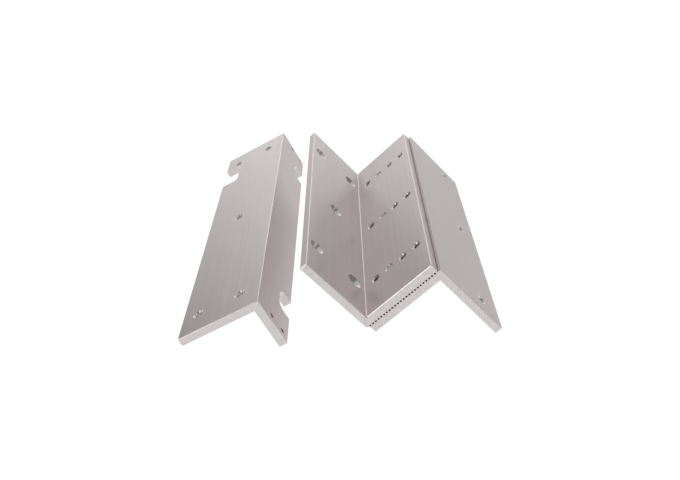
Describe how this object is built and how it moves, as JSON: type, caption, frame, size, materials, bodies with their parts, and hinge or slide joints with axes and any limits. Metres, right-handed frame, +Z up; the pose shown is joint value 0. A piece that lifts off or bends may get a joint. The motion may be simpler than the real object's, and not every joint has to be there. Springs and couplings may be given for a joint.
{
  "type": "magnetic lock mounting bracket set",
  "caption": "L bracket and adjustable toothed Z bracket that mount a magnetic door lock and its armature plate.",
  "frame": {"origin": "bottom centre of the whole set, on the surface that both brackets stand on", "axes": "+Z up; +Y along the length of both brackets; +X from the L bracket to the Z bracket"},
  "size_m": [0.1725, 0.25, 0.0417],
  "materials": {
    "l_bracket_aluminium": "satin brushed, anodised",
    "upper_angle_aluminium": "satin brushed, anodised",
    "lower_angle_aluminium": "satin brushed, anodised",
    "screw_steel": "zinc plated",
    "washer_steel": "zinc plated"
  },
  "bodies": {
    "lower_angle": {"lower_angle": "lower_angle_aluminium"},
    "washers": {"flat_washer_near": "washer_steel", "spring_washer_near": "washer_steel", "flat_washer_middle": "washer_steel", "spring_washer_middle": "washer_steel", "flat_washer_far": "washer_steel", "spring_washer_far": "washer_steel"},
    "upper_angle": {"upper_angle": "upper_angle_aluminium"},
    "screw_near": {"clamp_screw_near": "screw_steel"},
    "screw_middle": {"clamp_screw_middle": "screw_steel"},
    "screw_far": {"clamp_screw_far": "screw_steel"},
    "l_bracket": {"l_bracket": "l_bracket_aluminium"}
  },
  "joints": [
    {"name": "adjust_slide", "type": "slide", "parent": "lower_angle", "child": "washers", "axis": [0.7102, 0, 0.704], "range_m": [-0.002, 0.01]},
    {"name": "clamp_slide", "type": "slide", "parent": "washers", "child": "upper_angle", "axis": [-0.704, 0, 0.7102], "range_m": [0, 0.0008]},
    {"name": "screw_near_turn", "type": "hinge", "parent": "washers", "child": "screw_near", "pos_m": [0.03345, -0.078, 0.01516], "axis": [-0.704, 0, 0.7102], "range_deg": [-2, 362]},
    {"name": "screw_middle_turn", "type": "hinge", "parent": "washers", "child": "screw_middle", "pos_m": [0.03345, -0.0103, 0.01516], "axis": [-0.704, 0, 0.7102], "range_deg": [-2, 362]},
    {"name": "screw_far_turn", "type": "hinge", "parent": "washers", "child": "screw_far", "pos_m": [0.03345, 0.0574, 0.01516], "axis": [-0.704, 0, 0.7102], "range_deg": [-2, 362]},
    {"name": "l_bracket_lift", "type": "slide", "parent": "lower_angle", "child": "l_bracket", "axis": [0, 0, 1], "range_m": [0, 0.12]}
  ],
  "couplings": [
    {"joint": "screw_near_turn", "follows": "clamp_slide", "rad_per_m": 7854},
    {"joint": "screw_middle_turn", "follows": "clamp_slide", "rad_per_m": 7854},
    {"joint": "screw_far_turn", "follows": "clamp_slide", "rad_per_m": 7854}
  ]
}
